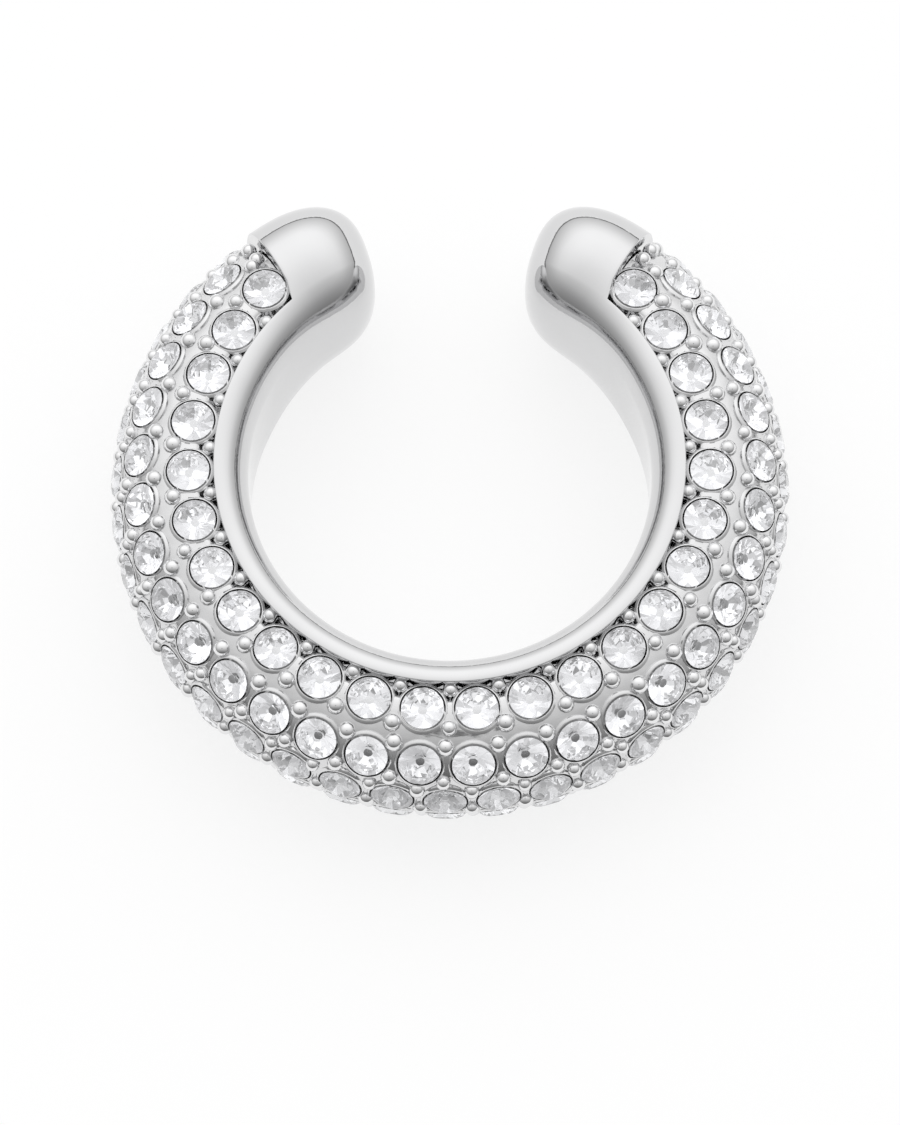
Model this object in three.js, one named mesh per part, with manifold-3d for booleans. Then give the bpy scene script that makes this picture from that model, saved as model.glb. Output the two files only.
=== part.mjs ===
// Pave ear cuff: an open C of D-shaped section that lies on its side.
// Units are millimetres, +Z is up and the C opens towards +Y.
// The ring's axis is vertical. Angles along the C are measured from its middle, at -Y, and are
// positive towards +X. Section points are (r, z): distance from the ring's axis, height from its
// mid-plane.

import * as THREE from 'three';
import { ParametricGeometry } from 'three/addons/geometries/ParametricGeometry.js';
import { mergeVertices } from 'three/addons/utils/BufferGeometryUtils.js';
import Module from 'manifold-3d';

// ---- Driving dimensions --------------------------------------------------------------------

const holeRadius = 4.6;          // inner wall at mid-height
const halfHeight = 2.05;         // from the mid-plane to either flat edge
const outerCentre = 5.82;        // radius on which the outer side's arc is centred
const outerRound = 2.07;         // radius of that arc, on the polished metal
const edgeReach = 0.66;          // how far each oval inner edge reaches from the wall to its rim
const edgeDrop = 0.95;           // how far each oval inner edge comes down from its rim

const rimRadius = 5.37;          // outer edge of each polished rim, where the sunk bed starts
const bedRound = 1.5;            // radius of the bed's floor about outerCentre
const paveRound = 1.95;          // radius of the paved surface about outerCentre
const paveGap = 0.04;            // clearance between the paved solid and the metal
const paveEndAtRim = 138;        // degrees, where the paving stops beside the rims
const paveEndOutside = 142.5;    // degrees, where it stops at the outside of the C

const tipAngle = 162;            // degrees, the very end of each polished tip
const tipStart = 143;            // degrees, where the section starts to shrink to the tip
const tipSquareness = 2.8;       // exponent of the tip's outline: 2 is an ellipse, more is blunter
const sectionMiddle = 6.15;      // radius that a shrinking section closes on
const tipHalfWidth = 1.63;       // half the tips' thickness, measured radially
const tipRoundness = 2.4;        // exponent of the tips' rounder section
const roundingStart = 112;       // degrees, where the D starts to turn into that section
const roundingEnd = 150;         // degrees, where it has turned into it

const stepAngle = 8.6;           // degrees between sections along the C
const tipSteps = 7;              // sections in each rounded tip

// ---- Helpers -------------------------------------------------------------------------------

const radians = THREE.MathUtils.degToRad;
const wasm = await Module();
wasm.setup();

// Points of a circular arc, both ends included.
function arcPoints(centreR, centreZ, radius, fromDegrees, toDegrees, steps) {
  return Array.from({ length: steps + 1 }, (_, i) => {
    const angle = radians(fromDegrees + (toDegrees - fromDegrees) * i / steps);
    return new THREE.Vector2(centreR + radius * Math.cos(angle), centreZ + radius * Math.sin(angle));
  });
}

// A closed section is mirrored from its upper half, which runs from the outside inwards.
function mirroredSection(upperHalf) {
  const lowerHalf = upperHalf
    .filter((point) => Math.abs(point.y) > 1e-6)
    .map((point) => new THREE.Vector2(point.x, -point.y))
    .reverse();
  return [...upperHalf, ...lowerHalf];
}

// Evenly spaced angles from -reach to reach, with one of them at 0.
function evenAngles(reach) {
  const half = Math.round(reach / stepAngle);
  return Array.from({ length: 2 * half + 1 }, (_, i) => reach * (i / half - 1));
}

// Where a section point lies in space at an angle along the C.
function placeOnRing(r, z, degrees, target) {
  const angle = radians(degrees);
  target.set(r * Math.sin(angle), -r * Math.cos(angle), z);
}

// Merges a geometry's shared vertices and drops the triangles that this makes flat.
function closedGeometry(geometry) {
  geometry.deleteAttribute('normal');
  geometry.deleteAttribute('uv');
  const merged = mergeVertices(geometry, 1e-4);
  const corners = merged.index.array;
  const kept = [];
  for (let i = 0; i < corners.length; i += 3) {
    const [a, b, c] = corners.slice(i, i + 3);
    if (a !== b && b !== c && c !== a) kept.push(a, b, c);
  }
  merged.setIndex(kept);
  return merged;
}

// Sweeps a closed section round the C. Each station has an angle, or a function of the section
// point that gives one, a scale about sectionMiddle, where 0 closes the end, and, where the
// section differs from the first one given, a section of its own with as many points. Sections
// are walked backwards, which points the faces outwards.
function sweep(section, stations) {
  const surface = (u, v, target) => {
    const { degrees, scale, own = section } = stations[Math.round(v * (stations.length - 1))];
    const point = own[Math.round((1 - u) * section.length) % section.length];
    const angle = typeof degrees === 'function' ? degrees(point) : degrees;
    const r = sectionMiddle + (point.x - sectionMiddle) * scale;
    placeOnRing(r, point.y * scale, angle, target);
  };
  const geometry = new ParametricGeometry(surface, section.length, stations.length - 1);
  return closedGeometry(geometry);
}

function toManifold(geometry) {
  return new wasm.Manifold(new wasm.Mesh({
    numProp: 3,
    vertProperties: new Float32Array(geometry.attributes.position.array),
    triVerts: new Uint32Array(geometry.index.array),
  }));
}

function toGeometry(solid) {
  const mesh = solid.getMesh();
  const geometry = new THREE.BufferGeometry();
  geometry.setAttribute('position', new THREE.Float32BufferAttribute(mesh.vertProperties, 3));
  geometry.setIndex(Array.from(mesh.triVerts));
  geometry.computeVertexNormals();
  return geometry;
}

// ---- Sections ------------------------------------------------------------------------------

// The D of the polished metal: round outside, flat edges, and a gently bulged inner wall.
function metalSection() {
  const flatHalfWidth = Math.sqrt(outerRound ** 2 - halfHeight ** 2);
  const flatStart = THREE.MathUtils.radToDeg(Math.asin(halfHeight / outerRound));
  const outside = arcPoints(outerCentre, 0, outerRound, 0, flatStart, 7);
  outside[outside.length - 1].set(outerCentre + flatHalfWidth, halfHeight);

  const edge = arcPoints(0, 0, 1, 90, 180, 6).map((point) => new THREE.Vector2(
    holeRadius + edgeReach * (1 + point.x), halfHeight - edgeDrop * (1 - point.y)));
  return mirroredSection([...outside, ...edge]);
}

// The rounder section of the tips, a superellipse: each point of the D moves in or out to it.
function tipSection(section) {
  return section.map((point) => {
    const offset = point.clone().sub(new THREE.Vector2(sectionMiddle, 0));
    const fraction = Math.abs(offset.x / tipHalfWidth) ** tipRoundness
      + Math.abs(offset.y / halfHeight) ** tipRoundness;
    offset.multiplyScalar(fraction ** (-1 / tipRoundness));
    return new THREE.Vector2(sectionMiddle + offset.x, offset.y);
  });
}

// A round-sided section about outerCentre that stops at a straight side at the given radius.
function bandSection(round, sideRadius) {
  const sideAngle = THREE.MathUtils.radToDeg(Math.acos((sideRadius - outerCentre) / round));
  return mirroredSection(arcPoints(outerCentre, 0, round, 0, sideAngle, 9));
}

// ---- Stations along the C ------------------------------------------------------------------

// Sections of the metal: an even run, then tips whose outline is a superellipse.
function metalStations(section) {
  const rounded = tipSection(section);
  const station = (degrees, scale) => {
    const share = THREE.MathUtils.smoothstep(Math.abs(degrees), roundingStart, roundingEnd);
    return { degrees, scale, own: section.map((point, i) => point.clone().lerp(rounded[i], share)) };
  };
  const run = evenAngles(tipStart).map((degrees) => station(degrees, 1));
  const tip = Array.from({ length: tipSteps }, (_, i) => {
    const along = Math.sin((i + 1) / tipSteps * Math.PI / 2);
    const scale = Math.max(0, 1 - along ** tipSquareness) ** (1 / tipSquareness);
    return station(tipStart + (tipAngle - tipStart) * along, scale);
  });
  const otherTip = tip.map((end) => ({ ...end, degrees: -end.degrees })).reverse();
  return [...otherTip, ...run, ...tip];
}

// Stations of the paved stretch. Its ends bow from the rims to the outside, and are shortened by
// a clearance that is a length along the ring.
function paveStations(clearance) {
  const endAt = (point) => {
    const outward = THREE.MathUtils.inverseLerp(rimRadius, outerCentre + paveRound, point.x);
    const bowed = Math.sqrt(THREE.MathUtils.clamp(outward, 0, 1));
    const end = THREE.MathUtils.lerp(paveEndAtRim, paveEndOutside, bowed);
    return end - THREE.MathUtils.radToDeg(clearance / outerCentre);
  };
  const run = evenAngles(paveEndAtRim).map((angle) => (
    { degrees: (point) => angle / paveEndAtRim * endAt(point), scale: 1 }
  ));
  const first = { degrees: -paveEndAtRim, scale: 0 };
  const last = { degrees: paveEndAtRim, scale: 0 };
  return [first, ...run, last];
}

// ---- Solids --------------------------------------------------------------------------------

const overshoot = 0.5;           // how far a cutting solid stands outside what it cuts

// A plain band of the C that runs on inside the polished ends.
function ringBand(round, sideRadius) {
  const reach = (paveEndOutside + tipAngle) / 2;
  const run = evenAngles(reach).map((degrees) => ({ degrees, scale: 1 }));
  const stations = [{ degrees: -reach, scale: 0 }, ...run, { degrees: reach, scale: 0 }];
  return toManifold(sweep(bandSection(round, sideRadius), stations));
}

// The core that the paving lies on.
function bedCore(clearance) {
  return ringBand(bedRound + clearance, rimRadius - overshoot);
}

// The paved stretch with room to spare outside it.
function paveStretch(clearance) {
  const section = bandSection(outerRound + overshoot, rimRadius);
  return toManifold(sweep(section, paveStations(clearance)));
}

function makeCuffBody() {
  const section = metalSection();
  const metal = toManifold(sweep(section, metalStations(section)));
  return metal.subtract(paveStretch(0).subtract(bedCore(0)));
}

function makePaveField() {
  const paved = ringBand(paveRound, rimRadius + paveGap).intersect(paveStretch(paveGap));
  return paved.subtract(bedCore(paveGap));
}

// ---- Materials and assembly ----------------------------------------------------------------

const polishedMetal = new THREE.MeshStandardMaterial({
  name: 'polished_metal', color: 0xd4d5d8, roughness: 0.08, metalness: 1,
});
const pavedStones = new THREE.MeshStandardMaterial({
  name: 'paved_stones', color: 0xe4e6ea, roughness: 0.15, metalness: 0.4,
});

function namedMesh(name, solid, material) {
  const mesh = new THREE.Mesh(toGeometry(solid), material);
  mesh.name = name;
  return mesh;
}

const earCuff = new THREE.Group();
earCuff.name = 'ear_cuff';
earCuff.add(namedMesh('cuff_body', makeCuffBody(), polishedMetal));
earCuff.add(namedMesh('pave_field', makePaveField(), pavedStones));

// The cuff stands on its lower rim, centred over the origin.
const bounds = new THREE.Box3().setFromObject(earCuff);
const middle = bounds.getCenter(new THREE.Vector3());
earCuff.position.set(-middle.x, -middle.y, -bounds.min.z);

export default earCuff;
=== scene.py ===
"""A pave ear cuff: polished C-shaped body, seated bed, holding beads and six rows of cut stones.

All sizes in the classes are in millimetres; Workbench brings each finished piece to metres and to
its place in the frame. Angles along the C are in degrees from its middle, which faces -Y, and are
positive towards +X. Across the section, lean is the angle above the mid-plane, seen from the circle
that the outer side's arc is centred on.
"""

import logging
import math
from dataclasses import dataclass
from enum import Enum
from typing import Callable, Optional, Sequence

import bmesh
import bpy
import numpy as np
from mathutils import Matrix, Vector
from mathutils.kdtree import KDTree


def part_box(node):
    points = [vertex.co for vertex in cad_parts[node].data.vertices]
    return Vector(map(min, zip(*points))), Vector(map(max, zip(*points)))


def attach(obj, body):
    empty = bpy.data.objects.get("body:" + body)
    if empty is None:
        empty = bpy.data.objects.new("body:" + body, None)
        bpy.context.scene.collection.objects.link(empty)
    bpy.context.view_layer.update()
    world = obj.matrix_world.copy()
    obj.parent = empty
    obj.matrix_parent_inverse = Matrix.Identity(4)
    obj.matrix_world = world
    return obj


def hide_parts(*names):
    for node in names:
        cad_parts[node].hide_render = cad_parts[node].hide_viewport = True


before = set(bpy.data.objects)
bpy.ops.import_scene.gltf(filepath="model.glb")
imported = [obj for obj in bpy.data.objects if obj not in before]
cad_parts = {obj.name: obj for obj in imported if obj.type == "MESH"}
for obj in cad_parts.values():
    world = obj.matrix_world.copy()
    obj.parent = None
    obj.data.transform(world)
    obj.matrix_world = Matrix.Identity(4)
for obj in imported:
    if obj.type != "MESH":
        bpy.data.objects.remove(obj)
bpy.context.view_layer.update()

METRES_PER_MM = 0.001
PAINTED_FACET_LIGHT = "painted_facet_light"
Colour = tuple[float, float, float, float]

logging.basicConfig(level=logging.INFO, format="%(name)s: %(message)s")
log = logging.getLogger("ear_cuff")


# ---- Shader graph helpers ------------------------------------------------------------------


class Signal:
    """A shader socket that takes part in Python arithmetic by adding Math nodes."""

    def __init__(self, graph: "Graph", socket: bpy.types.NodeSocket) -> None:
        """Keeps the socket and the graph it belongs to."""
        self.graph = graph
        self.socket = socket

    def _math(self, operation: str, first: object, second: object) -> "Signal":
        """Adds a Math node.

        Args:
            operation: the Math node's operation.
            first: its first value or signal.
            second: its second value or signal.

        Returns:
            The node's result.
        """
        return self.graph.node("ShaderNodeMath", {"operation": operation}, {0: first, 1: second})

    def __add__(self, other: object) -> "Signal":
        """This plus other."""
        return self._math("ADD", self, other)

    __radd__ = __add__

    def __mul__(self, other: object) -> "Signal":
        """This times other."""
        return self._math("MULTIPLY", self, other)

    __rmul__ = __mul__


class Graph:
    """The node tree of one material or world."""

    def __init__(self, owner: bpy.types.ID) -> None:
        """Empties the owner's node tree and keeps it.

        Args:
            owner: the material or world.
        """
        owner.use_nodes = True
        self.tree = owner.node_tree
        self.tree.nodes.clear()

    def node(self, kind: str, settings: Optional[dict] = None, inputs: Optional[dict] = None,
             output: object = 0) -> Signal:
        """Adds a node.

        Args:
            kind: the node's type.
            settings: its properties; "stops" sets a colour ramp's (position, colour) list.
            inputs: a value or signal for each input, by name or number.
            output: the name or number of the output wanted.

        Returns:
            That output.
        """
        added = self.tree.nodes.new(kind)
        for name, value in (settings or {}).items():
            if name == "stops":
                self._set_stops(added.color_ramp, value)
            else:
                setattr(added, name, value)
        for name, value in (inputs or {}).items():
            if isinstance(value, Signal):
                self.tree.links.new(value.socket, added.inputs[name])
            else:
                added.inputs[name].default_value = value
        return Signal(self, added.outputs[output] if len(added.outputs) else None)

    @staticmethod
    def _set_stops(ramp: bpy.types.ColorRamp, stops: Sequence[tuple]) -> None:
        """Gives a colour ramp its stops.

        Args:
            ramp: the ramp.
            stops: a (position, grey level) pair for each stop, in order.
        """
        while len(ramp.elements) < len(stops):
            ramp.elements.new(1.0)
        for element, (position, level) in zip(ramp.elements, stops):
            element.position = position
            element.color = grey(level)

    def noise(self, coordinate: Signal, grain_mm: float, detail: float = 2.0) -> Signal:
        """Adds a noise.

        Args:
            coordinate: where it is read, in metres.
            grain_mm: about how far apart its lumps are, in millimetres.
            detail: how much finer noise lies on it.

        Returns:
            Its value, from 0 to 1.
        """
        scale = 1.0 / (grain_mm * METRES_PER_MM)
        return self.node("ShaderNodeTexNoise", {},
                         {"Vector": coordinate, "Scale": scale, "Detail": detail})

    def mixed(self, factor: object, first: object, second: object, blend: str = "MIX") -> Signal:
        """Mixes two colours.

        Args:
            factor: how much of the second colour there is.
            first: the first colour.
            second: the second colour.
            blend: the Mix node's blend type.

        Returns:
            The mixed colour.
        """
        return self.node("ShaderNodeMix", {"data_type": "RGBA", "blend_type": blend},
                         {"Factor": factor, "A": first, "B": second}, output="Result")

    def place(self) -> Signal:
        """The point of the piece, in object coordinates."""
        return self.node("ShaderNodeTexCoord", output="Object")

    def surface(self, inputs: dict) -> None:
        """Ends the graph in a Principled surface with those inputs."""
        finished = self.node("ShaderNodeBsdfPrincipled", {}, inputs)
        self.node("ShaderNodeOutputMaterial", {}, {"Surface": finished})


def grey(level: float) -> Colour:
    """An opaque grey of that linear level."""
    return (level, level, level, 1.0)


def opaque(colour: tuple[float, float, float], share: float = 1.0) -> Colour:
    """The colour as an opaque one, darkened to a share of itself."""
    return (*[share * channel for channel in colour], 1.0)


# ---- Finishes ------------------------------------------------------------------------------


@dataclass(frozen=True)
class MetalFinish:
    """Plated metal, from mirror bright to the wall inside a seat, painted near black as painted
    shade.

    Grains and bump depth are in millimetres. A faceted back takes painted sparkle and dark painted
    reflections facet by facet from the mesh, and glows a little: painted light in place of the
    light that goes round inside a stone for longer than is traced.
    """

    name: str
    colour: tuple[float, float, float]
    roughness: float
    roughness_spread: float = 0.03
    ripple: float = 0.0
    ripple_grain: float = 1.6
    scratch: float = 0.0
    metallic: float = 1.0
    glow: float = 0.0
    faceted: bool = False
    cloud_grain: float = 0.9
    dull_share: float = 0.95
    line_grain: float = 0.12
    line_stretch: tuple[float, float, float] = (1.0, 1.0, 9.0)
    bump_depth: float = 0.01

    def material(self) -> bpy.types.Material:
        """Makes the finish.

        Returns:
            The new material.
        """
        made = bpy.data.materials.new(self.name)
        graph = Graph(made)
        place = graph.place()
        cloud = graph.noise(place, self.cloud_grain)
        tint = graph.mixed(cloud, opaque(self.colour, self.dull_share), opaque(self.colour))
        # Painted sparkle and dark painted reflections, facet by facet, scale the tint and so the
        # glow.
        if self.faceted:
            shade = graph.node("ShaderNodeAttribute", {"attribute_name": PAINTED_FACET_LIGHT}, output="Fac")
            tint = graph.mixed(1.0, tint, shade, "MULTIPLY")
        rough = self.roughness + self.roughness_spread * cloud
        # The glow is painted light; only the mirrored back has any.
        inputs = {"Base Color": tint, "Metallic": self.metallic, "Roughness": rough,
                  "Emission Color": tint, "Emission Strength": self.glow}
        if self.ripple or self.scratch:
            inputs["Normal"] = self._relief(graph, place)
        graph.surface(inputs)
        return made

    def _relief(self, graph: Graph, place: Signal) -> Signal:
        """The soft unevenness that hand polishing leaves, and its fine lines.

        Args:
            graph: the material's graph.
            place: object coordinates.

        Returns:
            A normal.
        """
        stretched = graph.node("ShaderNodeMapping", {},
                               {"Vector": place, "Scale": self.line_stretch})
        height = self.ripple * graph.noise(place, self.ripple_grain, 1.0)
        lines = self.scratch * graph.noise(stretched, self.line_grain)
        return graph.node("ShaderNodeBump", {},
                          {"Height": height + lines, "Strength": 1.0,
                           "Distance": self.bump_depth * METRES_PER_MM})


@dataclass(frozen=True)
class GlassFinish:
    """The clear crown of a cut stone."""

    name: str = "clear_crown"
    colour: tuple[float, float, float] = (0.985, 0.99, 1.0)
    index: float = 1.46
    cloud_grain: float = 1.3
    dull_share: float = 0.97

    def material(self) -> bpy.types.Material:
        """Makes the finish.

        Returns:
            The new material.
        """
        made = bpy.data.materials.new(self.name)
        graph = Graph(made)
        cloud = graph.noise(graph.place(), self.cloud_grain)
        tint = graph.mixed(cloud, opaque(self.colour, self.dull_share), opaque(self.colour))
        graph.surface({"Base Color": tint, "Roughness": 0.0, "IOR": self.index,
                       "Transmission Weight": 1.0})
        return made


@dataclass(frozen=True)
class PaperFinish:
    """The pale floor, a lit table top."""

    name: str = "pale_floor"
    level: float = 0.28
    glow: float = 0.76
    roughness: float = 0.7
    shine: float = 0.2
    cloud_grain: float = 4.0
    dull_share: float = 0.985

    def material(self) -> bpy.types.Material:
        """Makes the finish.

        Returns:
            The new material.
        """
        made = bpy.data.materials.new(self.name)
        graph = Graph(made)
        cloud = graph.noise(graph.place(), self.cloud_grain)
        tint = graph.mixed(cloud, grey(self.dull_share * self.level), grey(self.level))
        graph.surface({"Base Color": tint, "Roughness": self.roughness,
                       "Specular IOR Level": self.shine,
                       "Emission Color": grey(1.0), "Emission Strength": self.glow})
        return made


class Finish(Enum):
    """The finishes that the pieces wear."""

    POLISHED = MetalFinish("polished_rhodium", (0.69, 0.69, 0.695), 0.02,
                           ripple=0.9, ripple_grain=1.8, scratch=0.03)
    SET_METAL = MetalFinish("bright_set_metal", (0.75, 0.75, 0.755), 0.05, roughness_spread=0.05,
                            ripple=1.6, ripple_grain=0.4, scratch=0.08, metallic=0.92)
    BEAD_METAL = MetalFinish("bead_metal", (0.84, 0.84, 0.845), 0.02,
                             ripple=0.3, ripple_grain=0.4)
    # Near black: painted shade in the deep gap round each stone.
    SEAT_PAINTED_SHADE = MetalFinish("shadowed_seat_wall", (0.05, 0.05, 0.05), 0.4, roughness_spread=0.1)
    # The mirrored back glows as painted light and takes painted sparkle facet by facet.
    FOIL = MetalFinish("mirrored_back", (0.95, 0.95, 0.96), 0.02, roughness_spread=0.02,
                       glow=0.33, faceted=True)
    CROWN = GlassFinish()
    FLOOR = PaperFinish()


class FinishRack:
    """Makes each finish's material once and hands it out."""

    def __init__(self) -> None:
        """Starts with no material made."""
        self._made: dict[Finish, bpy.types.Material] = {}

    def get(self, finish: Finish) -> bpy.types.Material:
        """Finds the material of a finish, making it the first time.

        Args:
            finish: the finish.

        Returns:
            Its material.
        """
        if finish not in self._made:
            self._made[finish] = finish.value.material()
        return self._made[finish]


RACK = FinishRack()


# ---- The ring's own geometry ---------------------------------------------------------------


def smooth_step(value: float, low: float, high: float) -> float:
    """Returns 0 below low, 1 above high and a smooth rise between them."""
    share = min(max((value - low) / (high - low), 0.0), 1.0)
    return share * share * (3 - 2 * share)


@dataclass(frozen=True)
class RingShape:
    """The driving sizes of the C, the same as the frame's, and the curves they give."""

    hole_radius: float = 4.6
    half_height: float = 2.05
    outer_centre: float = 5.82
    outer_round: float = 2.07
    edge_reach: float = 0.66
    edge_drop: float = 0.95
    rim_radius: float = 5.37
    bed_round: float = 1.5
    pave_round: float = 1.95
    pave_end_at_rim: float = 138.0
    pave_end_outside: float = 142.5
    tip_angle: float = 162.0
    tip_start: float = 143.0
    tip_squareness: float = 2.8
    section_middle: float = 6.15
    tip_half_width: float = 1.63
    tip_roundness: float = 2.4
    rounding_start: float = 112.0
    rounding_end: float = 150.0

    def centre(self) -> Vector:
        """Finds where the ring's centre lies in the frame.

        Returns:
            The centre, on the mid-plane, in millimetres.
        """
        low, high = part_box("pave_field")
        reach = self.outer_centre + self.pave_round
        return Vector((0.0, low.y / METRES_PER_MM + reach, (low.z + high.z) / 2 / METRES_PER_MM))

    def point(self, radius: float, height: float, angle: float) -> Vector:
        """The point at a radius and height in the section at an angle, about the ring's centre."""
        turn = math.radians(angle)
        return Vector((radius * math.sin(turn), -radius * math.cos(turn), height))

    def leaning(self, rise: float, lean: float, angle: float) -> Vector:
        """Finds a point of the rounded outer side.

        Args:
            rise: distance out from the arc's circle.
            lean: angle above the mid-plane, in degrees.
            angle: angle along the C, in degrees.

        Returns:
            The point, about the ring's centre.
        """
        tilt = math.radians(lean)
        radius = self.outer_centre + rise * math.cos(tilt)
        return self.point(radius, rise * math.sin(tilt), angle)

    def pave_end(self, radius: float) -> float:
        """Follows the bowed end of the paving.

        Args:
            radius: distance from the axis of the C.

        Returns:
            The angle along the C at which the paving ends there.
        """
        width = self.outer_centre + self.pave_round - self.rim_radius
        outward = (radius - self.rim_radius) / width
        bowed = math.sqrt(min(max(outward, 0.0), 1.0))
        return self.pave_end_at_rim + (self.pave_end_outside - self.pave_end_at_rim) * bowed

    def section(self, outside_steps: int, edge_steps: int, wall_steps: int) -> list[Vector]:
        """The polished D section as (radius, height) points.

        Args:
            outside_steps: steps in each half of the outer arc.
            edge_steps: steps in each oval inner edge.
            wall_steps: steps in each half of the straight inner wall.

        Returns:
            The closed outline, from the outermost point over the top and back underneath.
        """
        flat_start = math.asin(self.half_height / self.outer_round)
        upper = [self._on_outer_arc(flat_start * i / outside_steps)
                 for i in range(outside_steps + 1)]
        upper += [Vector((self.outer_centre, self.half_height)),
                  Vector((self.rim_radius, self.half_height))]
        for i in range(edge_steps + 1):
            turn = math.pi / 2 * i / edge_steps
            upper.append(Vector((self.hole_radius + self.edge_reach * (1 - math.sin(turn)),
                                 self.half_height - self.edge_drop * (1 - math.cos(turn)))))
        wall = self.half_height - self.edge_drop
        upper += [Vector((self.hole_radius, wall * (1 - i / wall_steps)))
                  for i in range(1, wall_steps + 1)]
        lower = [Vector((p.x, -p.y)) for p in reversed(upper[1:-1])]
        return upper + lower

    def _on_outer_arc(self, turn: float) -> Vector:
        """The point of the polished outer arc at a turn in radians."""
        return Vector((self.outer_centre + self.outer_round * math.cos(turn),
                       self.outer_round * math.sin(turn)))

    def metal_point(self, outline: Vector, angle: float) -> Vector:
        """Carries a point of the D section along the C, rounding it towards the tips.

        Args:
            outline: the point, as (radius, height).
            angle: angle along the C, in degrees.

        Returns:
            Where it comes to lie, about the ring's centre.
        """
        middle = Vector((self.section_middle, 0.0))
        offset = outline - middle
        squareness = self.tip_roundness
        fraction = (abs(offset.x / self.tip_half_width) ** squareness
                    + abs(offset.y / self.half_height) ** squareness)
        rounded = offset * fraction ** (-1 / squareness)
        share = smooth_step(abs(angle), self.rounding_start, self.rounding_end)
        along = max(0.0, (abs(angle) - self.tip_start) / (self.tip_angle - self.tip_start))
        left = max(0.0, 1 - min(1.0, along) ** self.tip_squareness)
        shrunk = offset.lerp(rounded, share) * left ** (1 / self.tip_squareness)
        return self.point(middle.x + shrunk.x, shrunk.y, angle)


SHAPE = RingShape()


# ---- Modelling helpers ---------------------------------------------------------------------


class Domain(Enum):
    """The parts of a mesh that can be picked."""

    FACE = "FACE"
    EDGE = "EDGE"


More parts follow.
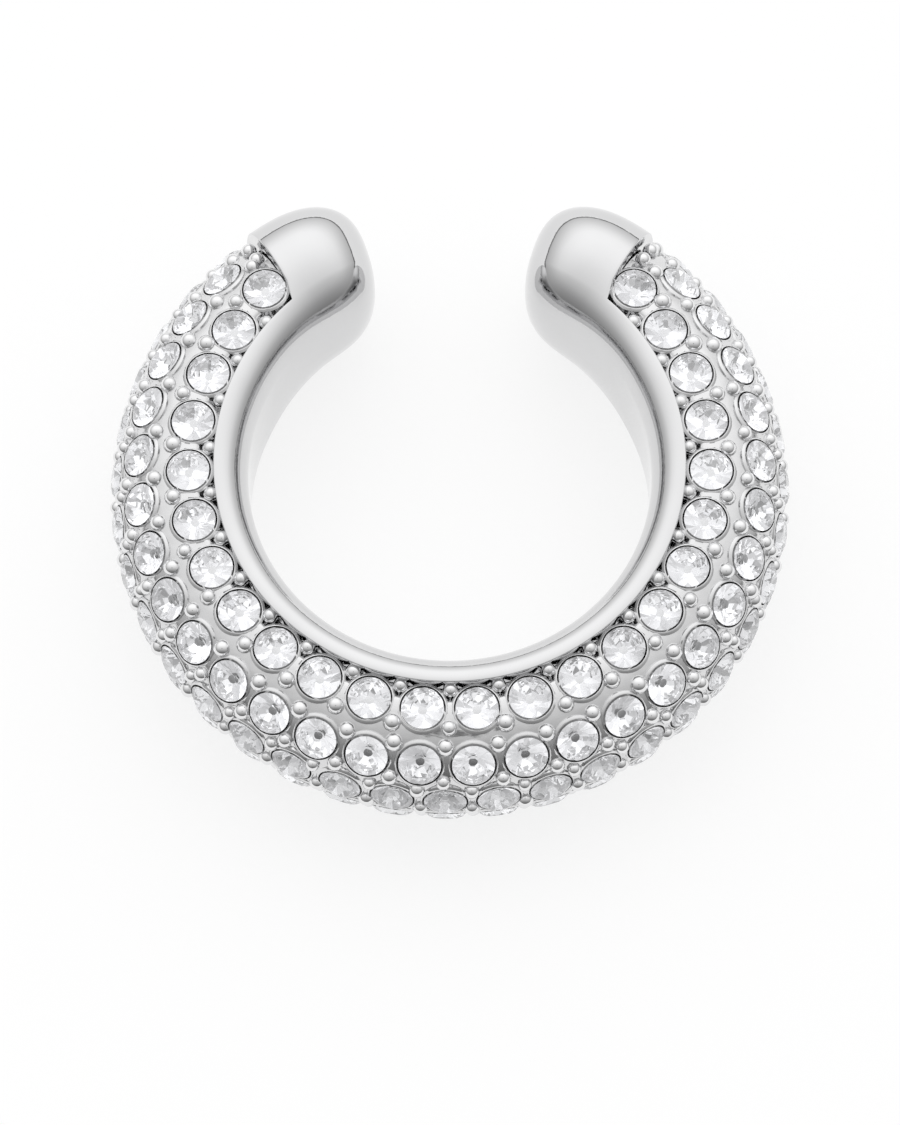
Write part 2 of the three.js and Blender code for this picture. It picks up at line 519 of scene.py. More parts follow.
class Workbench:
    """Starts pieces from primitives and finishes them in place."""

    @staticmethod
    def clear_selection() -> None:
        """Leaves object mode's selection empty."""
        if bpy.context.object and bpy.context.object.mode != "OBJECT":
            bpy.ops.object.mode_set(mode="OBJECT")
        bpy.ops.object.select_all(action="DESELECT")

    @staticmethod
    def only(piece: bpy.types.Object) -> None:
        """Selects one object alone and makes it active.

        Args:
            piece: the object.
        """
        Workbench.clear_selection()
        piece.select_set(True)
        bpy.context.view_layer.objects.active = piece

    @staticmethod
    def rolled_sheet(columns: int, rows: int,
                     place: Callable[[int, int], Vector]) -> bpy.types.Object:
        """A grid primitive whose corners are laid on a surface.

        Args:
            columns: cells across the sheet.
            rows: cells along it.
            place: gives the corner's position from its column and row number.

        Returns:
            The sheet, with corners that meet merged.
        """
        Workbench.clear_selection()
        bpy.ops.mesh.primitive_grid_add(x_subdivisions=columns, y_subdivisions=rows, size=1.0)
        sheet = bpy.context.object
        for corner in sheet.data.vertices:
            row, column = divmod(corner.index, columns + 1)
            corner.co = place(column, row)
        Workbench.tidy_mesh(sheet)
        return sheet

    @staticmethod
    def tidy_mesh(piece: bpy.types.Object, merge: float = 1e-4) -> None:
        """Merges doubles, drops flat faces and turns the normals outwards.

        Args:
            piece: the object.
            merge: corners nearer to each other than this are merged.
        """
        Workbench.only(piece)
        bpy.ops.object.mode_set(mode="EDIT")
        bpy.ops.mesh.select_all(action="SELECT")
        bpy.ops.mesh.remove_doubles(threshold=merge)
        bpy.ops.mesh.dissolve_degenerate(threshold=merge)
        bpy.ops.mesh.normals_make_consistent(inside=False)
        bpy.ops.object.mode_set(mode="OBJECT")

    @staticmethod
    def pick(piece: bpy.types.Object, domain: Domain, wanted: Callable[[object], bool]) -> None:
        """Selects, in edit mode, the faces or edges that pass a test.

        Args:
            piece: the object, which is left in edit mode.
            domain: what is picked.
            wanted: the test on a bmesh face or edge.
        """
        bpy.ops.mesh.select_mode(type=domain.value)
        bpy.ops.mesh.select_all(action="DESELECT")
        mesh = bmesh.from_edit_mesh(piece.data)
        for part in mesh.faces if domain is Domain.FACE else mesh.edges:
            part.select = wanted(part)
        mesh.select_flush_mode()
        bmesh.update_edit_mesh(piece.data)

    @staticmethod
    def scatter(name: str, pattern: bpy.types.Object, places: Sequence[Matrix]) -> bpy.types.Object:
        """Joins one copy of a pattern for each place into a single new object.

        Args:
            name: the new object's name.
            pattern: what is copied, with its materials; it is removed afterwards by the caller.
            places: where each copy goes.

        Returns:
            The joined object.
        """
        source = pattern.data
        corners = np.array([v.co for v in source.vertices])
        loops = np.array([loop.vertex_index for loop in source.loops])
        sizes = np.array([p.loop_total for p in source.polygons])
        slots = np.array([p.material_index for p in source.polygons])
        smooth = np.array([p.use_smooth for p in source.polygons])
        count = len(places)
        turned = [corners @ np.array(m.to_3x3()).T + np.array(m.translation) for m in places]
        mesh = bpy.data.meshes.new(name)
        mesh.vertices.add(len(corners) * count)
        mesh.vertices.foreach_set("co", np.concatenate(turned).ravel())
        mesh.loops.add(len(loops) * count)
        shifts = np.repeat(np.arange(count) * len(corners), len(loops))
        mesh.loops.foreach_set("vertex_index", np.tile(loops, count) + shifts)
        mesh.polygons.add(len(sizes) * count)
        all_sizes = np.tile(sizes, count)
        mesh.polygons.foreach_set("loop_start", np.concatenate(([0], np.cumsum(all_sizes)[:-1])))
        mesh.polygons.foreach_set("material_index", np.tile(slots, count))
        mesh.polygons.foreach_set("use_smooth", np.tile(smooth, count))
        for material in source.materials:
            mesh.materials.append(material)
        mesh.update(calc_edges=True)
        mesh.validate()
        joined = bpy.data.objects.new(name, mesh)
        bpy.context.scene.collection.objects.link(joined)
        return joined

    @staticmethod
    def finish(piece: bpy.types.Object, name: str, node: str, slot: str,
               smooth_angle: Optional[float] = None) -> bpy.types.Object:
        """Brings a piece to metres and the ring's place, parents it to the root and hides its node.

        Args:
            piece: the object, modelled in millimetres about the ring's centre.
            name: its final name.
            node: the frame node that it stands for.
            slot: not used.
            smooth_angle: edges flatter than this many degrees are shaded smooth, if given.

        Returns:
            The piece.
        """
        piece.name = name
        piece.data.name = name
        place = Matrix.Translation(SHAPE.centre())
        piece.data.transform(Matrix.Scale(METRES_PER_MM, 4) @ place)
        if smooth_angle is not None:
            Workbench.only(piece)
            bpy.ops.object.shade_smooth_by_angle(angle=math.radians(smooth_angle))
        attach(piece, "root")
        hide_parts(node)
        log.info("%s: %d faces", name, len(piece.data.polygons))
        return piece


# ---- The polished body ---------------------------------------------------------------------


@dataclass
class PolishedBody:
    """The cast body: inner band, rims, tips and the sunk bed's walls and floor."""

    outside_steps: int = 22
    edge_steps: int = 14
    wall_steps: int = 3
    run_steps: int = 72
    neck_steps: int = 5
    tip_steps: int = 24
    bow_reach: float = 14.0
    edge_bevel: float = 0.025
    bevel_segments: int = 3
    smooth_angle: float = 40.0
    crest_angle: float = 50.0
    rim_slack: float = 1e-3

    def stations(self) -> list[float]:
        """Spaces the cross-sections, closer together in the tips.

        Returns:
            Their angles along the C, from one tip to the other.
        """
        half = [SHAPE.pave_end_at_rim * i / self.run_steps for i in range(1, self.run_steps + 1)]
        neck = SHAPE.tip_start - SHAPE.pave_end_at_rim
        half += [SHAPE.pave_end_at_rim + neck * i / self.neck_steps
                 for i in range(1, self.neck_steps + 1)]
        tip = SHAPE.tip_angle - SHAPE.tip_start
        power = 2 / SHAPE.tip_squareness
        half += [SHAPE.tip_start + tip * math.sin(math.pi / 2 * i / self.tip_steps) ** power
                 for i in range(1, self.tip_steps + 1)]
        return [-angle for angle in reversed(half)] + [0.0] + half

    def bowed(self, radius: float, angle: float) -> float:
        """Slides a cross-section so that one of them follows the paving's bowed end.

        Args:
            radius: distance from the axis of the C.
            angle: the cross-section's angle.

        Returns:
            The angle that the corner at that radius moves to.
        """
        end = SHAPE.pave_end_at_rim
        slide = SHAPE.pave_end(radius) - end
        size = abs(angle)
        share = size / end if size <= end else max(0.0, 1 - (size - end) / self.bow_reach)
        return math.copysign(size + slide * share, angle)

    def in_bed(self, centre: Vector) -> bool:
        """Tells whether a face is over the sunk bed.

        Args:
            centre: the face's centre.

        Returns:
            Whether it is.
        """
        radius = math.hypot(centre.x, centre.y)
        angle = math.degrees(math.atan2(abs(centre.x), -centre.y))
        return radius > SHAPE.rim_radius and angle < SHAPE.pave_end(radius)

    def sunk(self, corner: Vector) -> Vector:
        """Sinks a corner of the surface to the bed's floor.

        Args:
            corner: the corner's place on the surface.

        Returns:
            Its place on the floor.
        """
        radius = math.hypot(corner.x, corner.y)
        out = Vector((radius - SHAPE.outer_centre, corner.z))
        if radius < SHAPE.rim_radius + self.rim_slack:
            floor = math.sqrt(SHAPE.bed_round ** 2 - out.x ** 2)
            return Vector((corner.x, corner.y, math.copysign(floor, corner.z)))
        out = out.normalized() * SHAPE.bed_round
        share = (SHAPE.outer_centre + out.x) / radius
        return Vector((corner.x * share, corner.y * share, out.y))

    def mesh(self) -> bpy.types.Object:
        """Rolls a sheet into the C, sinks the bed into it and bevels the bed's edge.

        Returns:
            The body.
        """
        outline = SHAPE.section(self.outside_steps, self.edge_steps, self.wall_steps)
        stations = self.stations()

        def place(column: int, row: int) -> Vector:
            """Lays a corner of the sheet on the body.

            Args:
                column: its number round the section.
                row: its number along the C.

            Returns:
                Its place.
            """
            profile = outline[column % len(outline)]
            angle = self.bowed(profile.x, stations[row])
            return SHAPE.metal_point(profile, angle)

        body = Workbench.rolled_sheet(len(outline), len(stations) - 1, place)
        bpy.ops.object.mode_set(mode="EDIT")
        Workbench.pick(body, Domain.FACE, lambda face: self.in_bed(face.calc_center_median()))
        bpy.ops.mesh.extrude_region_move(TRANSFORM_OT_translate={"value": (0.0, 0.0, 0.0)})
        mesh = bmesh.from_edit_mesh(body.data)
        for corner in mesh.verts:
            if corner.select:
                corner.co = self.sunk(corner.co)
        mesh.normal_update()
        bmesh.update_edit_mesh(body.data)
        Workbench.pick(body, Domain.EDGE, self._is_bed_edge)
        bpy.ops.mesh.bevel(offset=self.edge_bevel, segments=self.bevel_segments, affect="EDGES")
        bpy.ops.object.mode_set(mode="OBJECT")
        Workbench.tidy_mesh(body, 1e-5)
        return body

    def _is_bed_edge(self, edge: bmesh.types.BMEdge) -> bool:
        """Tells whether an edge is the crest where the polished surface meets a bed wall.

        Args:
            edge: the edge.

        Returns:
            Whether it is.
        """
        if len(edge.link_faces) != 2:
            return False
        if edge.calc_face_angle_signed(0.0) < math.radians(self.crest_angle):
            return False
        rises = []
        for corner in edge.verts:
            radius = math.hypot(corner.co.x, corner.co.y)
            rises.append(math.hypot(radius - SHAPE.outer_centre, corner.co.z))
        return min(rises) > (SHAPE.bed_round + SHAPE.outer_round) / 2

    def build(self) -> bpy.types.Object:
        """Models and dresses the body.

        Returns:
            The finished piece.
        """
        body = self.mesh()
        body.data.materials.append(RACK.get(Finish.POLISHED))
        return Workbench.finish(body, "polished_body", "cuff_body", "polished_metal",
                                self.smooth_angle)


# ---- Where the stones and beads go ---------------------------------------------------------


@dataclass(frozen=True)
class StoneRow:
    """One row of stones and the beads in its gaps.

    Pitch is the angle from stone to stone, and offset is how far the row is turned. The leans of
    the beads are where those on the row's upper and lower side stand; None leaves that side to the
    neighbouring row. End_lean is the lean of the first and last stone, where it is another one.
    """

    count: int
    lean: float
    pitch: float
    upper_bead: Optional[float]
    lower_bead: Optional[float]
    upper_size: float
    lower_size: float
    offset: float = 0.0
    end_lean: Optional[float] = None

    def stones(self) -> list[tuple[float, float]]:
        """Places the stones.

        Returns:
            The (angle, lean) of each.
        """
        half = (self.count - 1) / 2
        places = [((i - half) * self.pitch + self.offset, self.lean) for i in range(self.count)]
        if self.end_lean is not None:
            places[0] = (places[0][0], self.end_lean)
            places[-1] = (places[-1][0], self.end_lean)
        return places

    def beads(self) -> list[tuple[float, float, float]]:
        """Places the beads beside the row.

        Returns:
            The (angle, lean, radius) of each.
        """
        half = self.count / 2
        gaps = [(i - half) * self.pitch + self.offset for i in range(self.count + 1)]
        sides = [(self.upper_bead, self.upper_size), (self.lower_bead, self.lower_size)]
        return [(gap, lean, size) for lean, size in sides if lean is not None for gap in gaps]


ROWS = (
    StoneRow(count=24, lean=86.0, pitch=11.78, upper_bead=101.0, lower_bead=73.0,
             upper_size=0.19, lower_size=0.22, end_lean=82.0),
    StoneRow(count=28, lean=45.2, pitch=9.76, upper_bead=59.0, lower_bead=31.5,
             upper_size=0.22, lower_size=0.2, offset=-0.6),
    StoneRow(count=31, lean=10.5, pitch=9.1, upper_bead=22.5, lower_bead=0.0,
             upper_size=0.19, lower_size=0.2, offset=-0.8),
    StoneRow(count=31, lean=-22.0, pitch=9.1, upper_bead=None, lower_bead=-34.5,
             upper_size=0.19, lower_size=0.19, offset=-0.8),
    StoneRow(count=28, lean=-54.0, pitch=9.76, upper_bead=-42.0, lower_bead=-65.5,
             upper_size=0.19, lower_size=0.2, offset=-0.6),
    StoneRow(count=24, lean=-86.5, pitch=11.78, upper_bead=-74.0, lower_bead=-101.0,
             upper_size=0.2, lower_size=0.19, end_lean=-82.0),
)
CORNER_BEAD_RADIUS = 0.19
CORNER_BEADS = tuple((side * angle, face * lean, CORNER_BEAD_RADIUS)
                     for side in (-1, 1) for face in (-1, 1)
                     for angle, lean in ((139.3, 56.0), (140.2, 37.5)))


def standing(rise: float, lean: float, angle: float, spin: float = 0.0) -> Matrix:
    """A place whose Z points straight out of the paved surface.

    Args:
        rise: distance out from the arc's circle.
        lean: angle above the mid-plane, in degrees.
        angle: angle along the C, in degrees.
        spin: turn about the outward direction, in degrees.

    Returns:
        The place as a matrix about the ring's centre.
    """
    out = (SHAPE.leaning(2.0, lean, angle) - SHAPE.leaning(1.0, lean, angle)).normalized()
    turn = math.radians(angle)
    along = Vector((math.cos(turn), math.sin(turn), 0.0))
    across = out.cross(along)
    axes = Matrix((along, across, out)).transposed().to_4x4()
    spun = axes @ Matrix.Rotation(math.radians(spin), 4, "Z")
    return Matrix.Translation(SHAPE.leaning(rise, lean, angle)) @ spun


# ---- The paved bed -------------------------------------------------------------------------


@dataclass
class PavedBed:
    """The metal between the stones: a sunk sheet and a collar round each stone.

    A collar's lip is its top, as (radius, height) points from the bore outwards, with heights from
    its highest point.
    """

    rise: float = 1.822
    rim_rise: float = 1.63
    rim_drop_from: float = 91.0
    rim_drop_to: float = 98.0
    end_drop_from: float = 3.3
    end_drop_to: float = 2.2
    thickness: float = 0.02
    clearance: float = 0.012
    lean_steps: int = 110
    angle_steps: int = 560
    seat_reach: float = 0.552
    collar_rise: float = 1.83
    collar_sides: int = 32
    collar_bore: float = 0.517
    collar_foot: float = 0.605
    collar_depth: float = 0.3
    bore_slack: float = 1e-3
    collar_lip: tuple[tuple[float, float], ...] = (
        (0.517, -0.01), (0.523, 0.0), (0.533, -0.001), (0.553, -0.012), (0.59, -0.045),
    )
    rim_row_lip: float = 0.0
    other_row_lip: float = -0.006
    smooth_angle: float = 38.0

    def sheet_rise(self, lean: float, from_end: float) -> float:
        """How far out the sheet stands; it is deeper beside the rims and the polished ends.

        Args:
            lean: angle above the mid-plane, in degrees.
            from_end: angle left to the end of the paving, in degrees.

        Returns:
            The distance out from the arc's circle.
        """
        drop = max(smooth_step(abs(lean), self.rim_drop_from, self.rim_drop_to),
                   1.0 - smooth_step(from_end, self.end_drop_to, self.end_drop_from))
        return self.rise + (self.rim_rise - self.rise) * drop

    def sheet(self) -> bpy.types.Object:
        """Models the sheet between the stones.

        Returns:
            The sheet, as thick metal with open seats.
        """
        side = SHAPE.rim_radius + self.clearance - SHAPE.outer_centre
        last_lean = math.degrees(math.acos(side / self.rim_rise))

        def place(column: int, row: int) -> Vector:
            """Lays a corner of the sheet in the bed.

            Args:
                column: its number across the section.
                row: its number along the C.

            Returns:
                Its place.
            """
            lean = last_lean * (1 - 2 * column / self.lean_steps)
            radius = SHAPE.outer_centre + self.rise * math.cos(math.radians(lean))
            end = SHAPE.pave_end(radius) - math.degrees(self.clearance / SHAPE.outer_centre)
            angle = end * (2 * row / self.angle_steps - 1)
            return SHAPE.leaning(self.sheet_rise(lean, end - abs(angle)), lean, angle)

        sheet = Workbench.rolled_sheet(self.lean_steps, self.angle_steps, place)
        self._face_outwards(sheet)
        self._open_seats(sheet)
        thicken = sheet.modifiers.new("thickness", "SOLIDIFY")
        thicken.thickness = self.thickness
        thicken.offset = -1.0
        Workbench.only(sheet)
        bpy.ops.object.modifier_apply(modifier=thicken.name)
        return sheet

    def _open_seats(self, sheet: bpy.types.Object) -> None:
        """Opens a hole in the sheet under each stone, a little smaller than its collar.

        Args:
            sheet: the sheet.
        """
        seats = [standing(self.collar_rise, lean, angle) for row in ROWS
                 for angle, lean in row.stones()]
        tree = KDTree(len(seats))
        for number, seat in enumerate(seats):
            tree.insert(seat.translation, number)
        tree.balance()

        def under_stone(face: bmesh.types.BMFace) -> bool:
            """Tells whether a face is inside a seat.

            Args:
                face: the face.

            Returns:
                Whether its middle is nearer to a stone's axis than the hole's edge.
            """
            middle = face.calc_center_median()
            seat = seats[tree.find(middle)[1]]
            away = seat.inverted() @ middle
            return math.hypot(away.x, away.y) < self.seat_reach

        Workbench.only(sheet)
        bpy.ops.object.mode_set(mode="EDIT")
        Workbench.pick(sheet, Domain.FACE, under_stone)
        bpy.ops.mesh.delete(type="FACE")
        bpy.ops.object.mode_set(mode="OBJECT")

    @staticmethod
    def _face_outwards(sheet: bpy.types.Object) -> None:
        """Turns an open sheet's faces away from the arc's circle.

        Args:
            sheet: the sheet.
        """
        face = sheet.data.polygons[len(sheet.data.polygons) // 2]
        radius = math.hypot(face.center.x, face.center.y)
        share = SHAPE.outer_centre / radius
        out = face.center - Vector((face.center.x * share, face.center.y * share, 0.0))
        if face.normal.dot(out) < 0:
            Workbench.only(sheet)
            bpy.ops.object.mode_set(mode="EDIT")
            bpy.ops.mesh.select_all(action="SELECT")
            bpy.ops.mesh.flip_normals()
            bpy.ops.object.mode_set(mode="OBJECT")

    def collar(self, lip: float) -> bpy.types.Object:
        """A stone's collar, turned from its outline about the stone's axis.

        Args:
            lip: how far the collar's top stands above the stone's girdle.

        Returns:
            The collar, standing on its Z axis.
        """
        outline = ((self.collar_bore, -self.collar_depth),
                   *((radius, lip + height) for radius, height in self.collar_lip),
                   (self.collar_foot, -self.collar_depth))
        Workbench.clear_selection()
        bpy.ops.mesh.primitive_circle_add(vertices=len(outline), radius=1.0, fill_type="NOTHING")
        collar = bpy.context.object
        for corner, (radius, height) in zip(collar.data.vertices, outline):
            corner.co = Vector((radius, 0.0, height))
        bpy.ops.object.mode_set(mode="EDIT")
        bpy.ops.mesh.select_all(action="SELECT")
        bpy.ops.mesh.spin(steps=self.collar_sides, angle=2 * math.pi, center=(0, 0, 0),
                          axis=(0, 0, 1))
        bpy.ops.object.mode_set(mode="OBJECT")
        Workbench.tidy_mesh(collar, 1e-3)
        collar.data.materials.append(RACK.get(Finish.SET_METAL))
        collar.data.materials.append(RACK.get(Finish.SEAT_PAINTED_SHADE))
        # Faces of the bore take the seat wall's painted shade.
        for face in collar.data.polygons:
            away = Vector((face.center.x, face.center.y)).length
            face.material_index = 1 if away < self.collar_bore + self.bore_slack else 0
        return collar

    def build(self) -> bpy.types.Object:
        """Models and dresses the bed.

        Returns:
            The finished piece.
        """
        bed = self.sheet()
        bed.data.materials.append(RACK.get(Finish.SET_METAL))
        bed.data.materials.append(RACK.get(Finish.SEAT_PAINTED_SHADE))
        parts = []
        for lip, rows in ((self.rim_row_lip, ROWS[:1] + ROWS[-1:]),
                          (self.other_row_lip, ROWS[1:-1])):
            pattern = self.collar(lip)
            places = [standing(self.collar_rise, lean, angle)
                      for row in rows for angle, lean in row.stones()]
            parts.append(Workbench.scatter("collars", pattern, places))
            bpy.data.objects.remove(pattern)
        Workbench.only(bed)
        for part in parts:
            part.select_set(True)
        bpy.ops.object.join()
        return Workbench.finish(bed, "paved_bed", "pave_field", "set_metal", self.smooth_angle)


# ---- The beads that hold the stones --------------------------------------------------------


@dataclass
class HoldingBeads:
    """The round-topped beads, each on a short neck."""

    sides: int = 12
    rings: int = 8
    top_rise: float = 2.0
    neck_share: float = 0.72
    neck_length: float = 0.3
    neck_flare: float = 1.15
    usual_radius: float = 0.18
    end_margin: float = 0.6
    size_range: tuple[float, float] = (0.88, 1.06)
    stray: float = 0.3
    seed: int = 11

    def bead(self) -> bpy.types.Object:
        """Models one bead of radius 1, standing on its neck.

        Returns:
            The bead, with its top at the origin.
        """
        Workbench.clear_selection()
        bpy.ops.mesh.primitive_uv_sphere_add(segments=self.sides, ring_count=self.rings,
                                             radius=1.0, location=(0.0, 0.0, -1.0))
        bead = bpy.context.object
        bpy.ops.object.transform_apply(location=True, rotation=False, scale=False)
        bpy.ops.object.mode_set(mode="EDIT")
        bpy.ops.mesh.select_all(action="SELECT")
        cut = -1.0 - math.sqrt(1 - self.neck_share ** 2)
        bpy.ops.mesh.bisect(plane_co=(0, 0, cut), plane_no=(0, 0, 1), clear_inner=True,
                            use_fill=True)
        Workbench.pick(bead, Domain.FACE, lambda face: face.calc_center_median().z < cut + 1e-4)
        drop = self.neck_length / self.usual_radius
        bpy.ops.mesh.extrude_region_move(TRANSFORM_OT_translate={"value": (0.0, 0.0, -drop)})
        bpy.ops.transform.resize(value=(self.neck_flare, self.neck_flare, 1.0),
                                 center_override=(0.0, 0.0, cut - drop))
        bpy.ops.object.mode_set(mode="OBJECT")
        Workbench.tidy_mesh(bead, 1e-4)
        return bead

    def places(self) -> list[Matrix]:
        """Places the beads, with a little unevenness in those beside the rows.

        Returns:
            A matrix for each bead, which also holds its size.
        """
        found = [standing(self.top_rise, lean, angle) @ Matrix.Scale(size, 4)
                 for angle, lean, size in CORNER_BEADS]
        chance = np.random.default_rng(self.seed)
        for row in ROWS:
            for angle, lean, size in row.beads():
                size *= chance.uniform(*self.size_range)
                radius = SHAPE.outer_centre + SHAPE.pave_round * math.cos(math.radians(lean))
                margin = math.degrees(self.end_margin * size / radius)
                if abs(angle) > SHAPE.pave_end(radius) - margin:
                    continue
                stray = chance.normal(0.0, self.stray, 2)
                place = standing(self.top_rise, lean + stray[0], angle + stray[1])
                found.append(place @ Matrix.Scale(size, 4))
        return found

    def build(self) -> bpy.types.Object:
        """Models and dresses the beads.

        Returns:
            All of them, as one finished piece.
        """
        pattern = self.bead()
        pattern.data.materials.append(RACK.get(Finish.BEAD_METAL))
        for face in pattern.data.polygons:
            face.use_smooth = True
        beads = Workbench.scatter("holding_beads", pattern, self.places())
        bpy.data.objects.remove(pattern)
        return Workbench.finish(beads, "holding_beads", "pave_field", "set_metal")


# ---- The cut stones ------------------------------------------------------------------------


@dataclass(frozen=True)
class FacetRing:
    """A ring of facets, cut one after the other round a stone.

    Each facet's plane passes through the point at the radius and height. Its slope is in degrees
    from level, below zero on the pavilion, and wander is how far the slope may stray.
    """

    count: int
    first_turn: float
    slope: float
    radius: float
    height: float
    wander: float = 0.0


@dataclass
class CutStones:
    """The round stones: a clear crown over a mirrored pavilion, one piece for each row.

    Facets smaller than small_facet, in square millimetres, may be painted dark as painted
    reflections. Rows that lean less than sideways_lean face outwards and send back less light,
    which is painted shade on their facets.
    """

    girdle_radius: float = 0.483
    table_height: float = 0.13
    rise: float = 1.83
    sides: int = 32
    blank_depth: float = 1.6
    crown_normal: float = 0.3
    cutting_seed: int = 3
    setting_seed: int = 7
    largest_turn: float = 45.0
    small_facet: float = 0.02
    painted_sparkle_tones: tuple[float, float] = (0.62, 1.0)
    dark_reflection_share: float = 0.4
    dark_reflection_tones: tuple[float, float] = (0.05, 0.3)
    sideways_lean: float = 30.0
    # Painted shade for rows that face outwards.
    sideways_painted_shade: float = 0.82
    crown: tuple[FacetRing, ...] = (
        FacetRing(count=8, first_turn=22.5, slope=31.0, radius=0.483, height=0.015),
        FacetRing(count=16, first_turn=11.25, slope=37.9, radius=0.4736, height=0.015),
        FacetRing(count=8, first_turn=0.0, slope=19.0, radius=0.275, height=0.13),
    )
    pavilion: tuple[FacetRing, ...] = (
        FacetRing(count=8, first_turn=22.5, slope=-40.0, radius=0.483, height=-0.015, wander=1.8),
        FacetRing(count=16, first_turn=11.25, slope=-41.2, radius=0.4735, height=-0.015,
                  wander=1.2),
        FacetRing(count=13, first_turn=5.0, slope=-58.0, radius=0.452, height=-0.045, wander=4.0),
    )

    @staticmethod
    def _cut(ring: FacetRing, chance: np.random.Generator) -> None:
        """Cuts a ring of facets off the stone in edit mode.

        Args:
            ring: the facets.
            chance: where the seeded unevenness comes from.
        """
        for i in range(ring.count):
            slope = math.radians(ring.slope + ring.wander * chance.uniform(-1.0, 1.0))
            turn = math.radians(ring.first_turn + 360.0 * i / ring.count)
            side = Vector((math.cos(turn), math.sin(turn), 0.0))
            upward = math.copysign(math.cos(slope), slope)
            normal = side * math.sin(abs(slope)) + Vector((0.0, 0.0, upward))
            point = side * ring.radius + Vector((0.0, 0.0, ring.height))
            bpy.ops.mesh.select_all(action="SELECT")
            bpy.ops.mesh.bisect(plane_co=point, plane_no=normal, clear_outer=True, use_fill=True,
                                threshold=1e-5)

    def stone(self) -> bpy.types.Object:
        """Cuts one stone out of a round blank.

        Returns:
            The stone, table up, with its girdle about the origin.
        """
        Workbench.clear_selection()
        bpy.ops.mesh.primitive_cylinder_add(vertices=self.sides, radius=self.girdle_radius,
                                            depth=self.blank_depth)
        stone = bpy.context.object
        bpy.ops.object.mode_set(mode="EDIT")
        chance = np.random.default_rng(self.cutting_seed)
        for ring in self.crown + self.pavilion:
            self._cut(ring, chance)
        bpy.ops.mesh.select_all(action="SELECT")
        bpy.ops.mesh.bisect(plane_co=(0, 0, self.table_height), plane_no=(0, 0, 1),
                            clear_outer=True, use_fill=True)
        bpy.ops.object.mode_set(mode="OBJECT")
        Workbench.tidy_mesh(stone, 2e-4)
        stone.data.materials.append(RACK.get(Finish.CROWN))
        stone.data.materials.append(RACK.get(Finish.FOIL))
        for face in stone.data.polygons:
            face.material_index = 0 if face.normal.z > self.crown_normal else 1
            face.use_smooth = False
        return stone

    def _paint_facet_light(self, stones: bpy.types.Object, depth: float,
                      chance: np.random.Generator) -> None:
        """Gives each facet a painted sparkle tone; a few small ones are dark painted reflections.

        Args:
            stones: the joined stones.
            depth: what every tone is multiplied by; below 1 it is painted shade.
            chance: where the seeded variety comes from.
        """
        # Painted sparkle on every facet, and dark painted reflections on some of the small ones.
        faces = stones.data.polygons
        tones = chance.uniform(*self.painted_sparkle_tones, len(faces))
        small = np.array([face.area < self.small_facet for face in faces])
        dark = small & (chance.random(len(faces)) < self.dark_reflection_share)
        tones[dark] = chance.uniform(*self.dark_reflection_tones, int(dark.sum()))
        painted_light_values = stones.data.attributes.new(PAINTED_FACET_LIGHT, "FLOAT", "FACE")
        painted_light_values.data.foreach_set("value", (depth * tones).astype(np.float32))

    def build(self) -> list[bpy.types.Object]:
        """Cuts, sets and dresses the stones.

        Returns:
            The rows, each a finished piece.
        """
        pattern = self.stone()
        chance = np.random.default_rng(self.setting_seed)
        rows = []
        for number, row in enumerate(ROWS, start=1):
            places = [standing(self.rise, lean, angle, chance.uniform(0.0, self.largest_turn))
                      for angle, lean in row.stones()]
            stones = Workbench.scatter(f"stones_row_{number}", pattern, places)
            # Rows that face outwards get painted shade over all their facets.
            sideways = abs(row.lean) < self.sideways_lean
            self._paint_facet_light(stones, self.sideways_painted_shade if sideways else 1.0, chance)
            rows.append(Workbench.finish(stones, stones.name, "pave_field", "crystal"))
        bpy.data.objects.remove(pattern)
        return rows


# ---- The studio ----------------------------------------------------------------------------


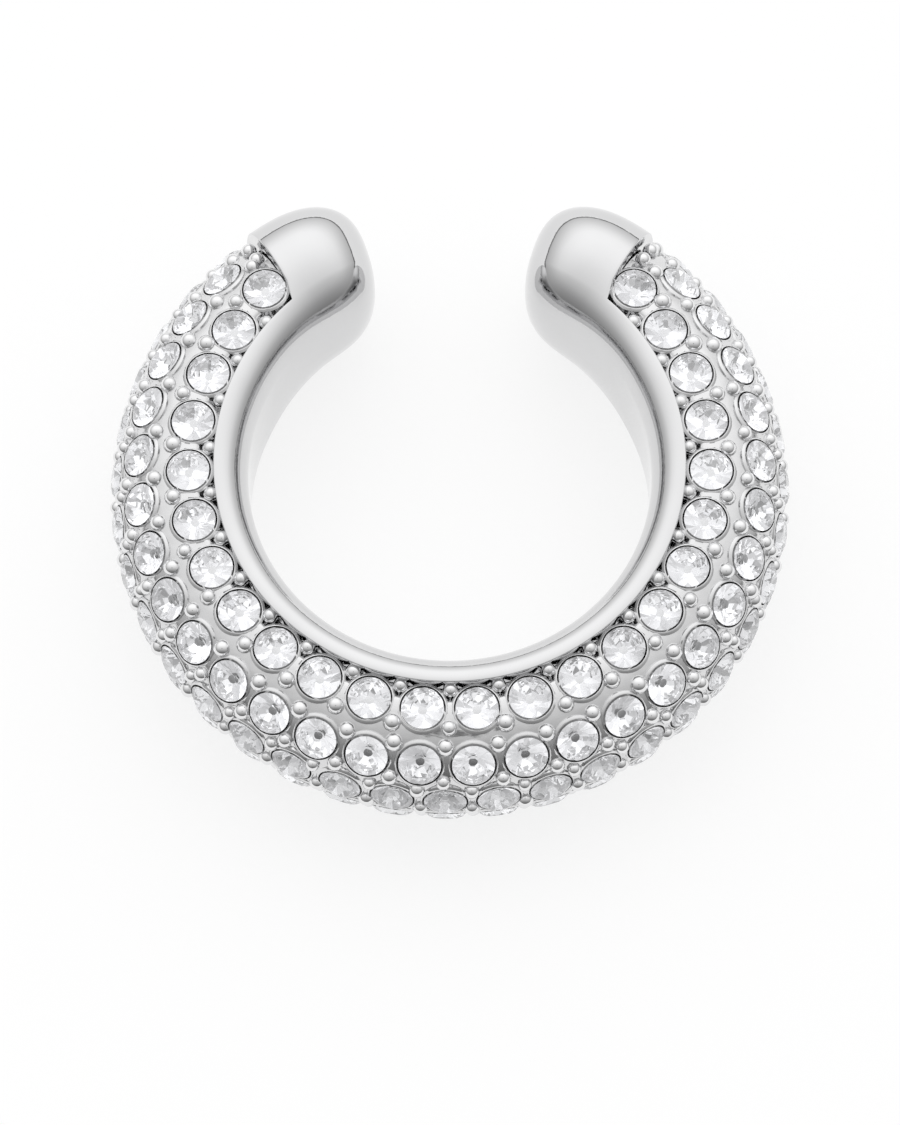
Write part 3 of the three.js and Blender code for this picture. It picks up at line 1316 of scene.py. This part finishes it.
@dataclass
class Studio:
    """The floor, the light and the camera.

    The view is view_width across at the cuff, with its middle view_drop below the cuff's. The sky's
    stops are (height, light) pairs, from 0 straight down over 0.5 at the horizon to 1 overhead. It
    is brighter on the far side, by back_share, and has a darker spot where the viewer stands.
    """

    elevation: float = 68.3
    azimuth: float = 0.42
    roll: float = 0.46
    distance: float = 153.3
    view_width: float = 20.69
    view_drop: float = 1.6
    sensor: float = 36.0
    clip_start: float = 1.0
    clip_end: float = 10000.0
    floor_size: float = 600.0
    floor_cells: int = 24
    sky: tuple[tuple[float, float], ...] = (
        (0.0, 0.9), (0.498, 0.9), (0.501, 0.06), (0.517, 0.14), (0.535, 0.46), (0.66, 0.61),
        (0.8, 0.84), (0.89, 0.92), (0.935, 0.95), (1.0, 0.98),
    )
    back_share: float = 0.7
    dark_spot: float = 5.0
    dark_spot_light: float = 0.25
    dark_spot_blur: float = 0.002

    def toward_viewer(self) -> Vector:
        """Finds the way from the cuff to the camera.

        Returns:
            Its direction.
        """
        turn, rise = math.radians(self.azimuth), math.radians(self.elevation)
        level = math.cos(rise)
        return Vector((math.sin(turn) * level, -math.cos(turn) * level, math.sin(rise)))

    def floor(self) -> bpy.types.Object:
        """Lays the pale floor under the cuff.

        Returns:
            The floor.
        """
        Workbench.clear_selection()
        bpy.ops.mesh.primitive_grid_add(x_subdivisions=self.floor_cells,
                                        y_subdivisions=self.floor_cells,
                                        size=self.floor_size * METRES_PER_MM)
        floor = bpy.context.object
        floor.name = "floor"
        floor.data.materials.append(RACK.get(Finish.FLOOR))
        return floor

    def world(self) -> None:
        """Lights the scene by a plain soft sky."""
        sky = bpy.data.worlds.new("soft_studio")
        bpy.context.scene.world = sky
        graph = Graph(sky)
        direction = graph.node("ShaderNodeTexCoord", output="Generated")
        height = graph.node("ShaderNodeSeparateXYZ", {}, {"Vector": direction}, output="Z")
        shade = graph.node("ShaderNodeValToRGB", {"stops": self.sky}, {"Fac": height * 0.5 + 0.5},
                           output="Color")
        facing = graph.node("ShaderNodeVectorMath", {"operation": "DOT_PRODUCT"},
                            {0: direction, 1: self.toward_viewer()}, output="Value")
        edge = math.cos(math.radians(self.dark_spot))
        spot = graph.node("ShaderNodeMapRange", {},
                          {"Value": facing, "From Min": edge + self.dark_spot_blur,
                           "From Max": edge - self.dark_spot_blur,
                           "To Min": self.dark_spot_light, "To Max": 1.0})
        depth = graph.node("ShaderNodeSeparateXYZ", {}, {"Vector": direction}, output="Y")
        light = graph.mixed(1.0, shade, spot * (depth * self.back_share + 1.0), "MULTIPLY")
        background = graph.node("ShaderNodeBackground", {}, {"Color": light, "Strength": 1.0})
        graph.node("ShaderNodeOutputWorld", {}, {"Surface": background})

    def camera(self) -> bpy.types.Object:
        """Sets up a long lens on the near side, high above the floor.

        Returns:
            The camera, which is the scene's.
        """
        data = bpy.data.cameras.new("camera")
        data.sensor_fit = "HORIZONTAL"
        data.sensor_width = self.sensor
        data.lens = self.sensor * self.distance / self.view_width
        data.shift_y = -self.view_drop / self.view_width
        data.clip_start = self.clip_start * METRES_PER_MM
        data.clip_end = self.clip_end * METRES_PER_MM
        back = self.toward_viewer()
        camera = bpy.data.objects.new("camera", data)
        aim = back.to_track_quat("Z", "Y").to_matrix().to_4x4()
        aim = aim @ Matrix.Rotation(-math.radians(self.roll), 4, "Z")
        place = (SHAPE.centre() + back * self.distance) * METRES_PER_MM
        camera.matrix_world = Matrix.Translation(place) @ aim
        bpy.context.scene.collection.objects.link(camera)
        bpy.context.scene.camera = camera
        return camera

    def build(self) -> None:
        """Sets up everything that isn't the cuff."""
        self.floor()
        self.world()
        self.camera()
        bpy.context.scene.view_settings.view_transform = "Standard"
        log.info("studio ready")


def main() -> None:
    """Builds the cuff, then the studio around it."""
    PolishedBody().build()
    PavedBed().build()
    HoldingBeads().build()
    CutStones().build()
    Studio().build()


if __name__ == "__main__":
    main()
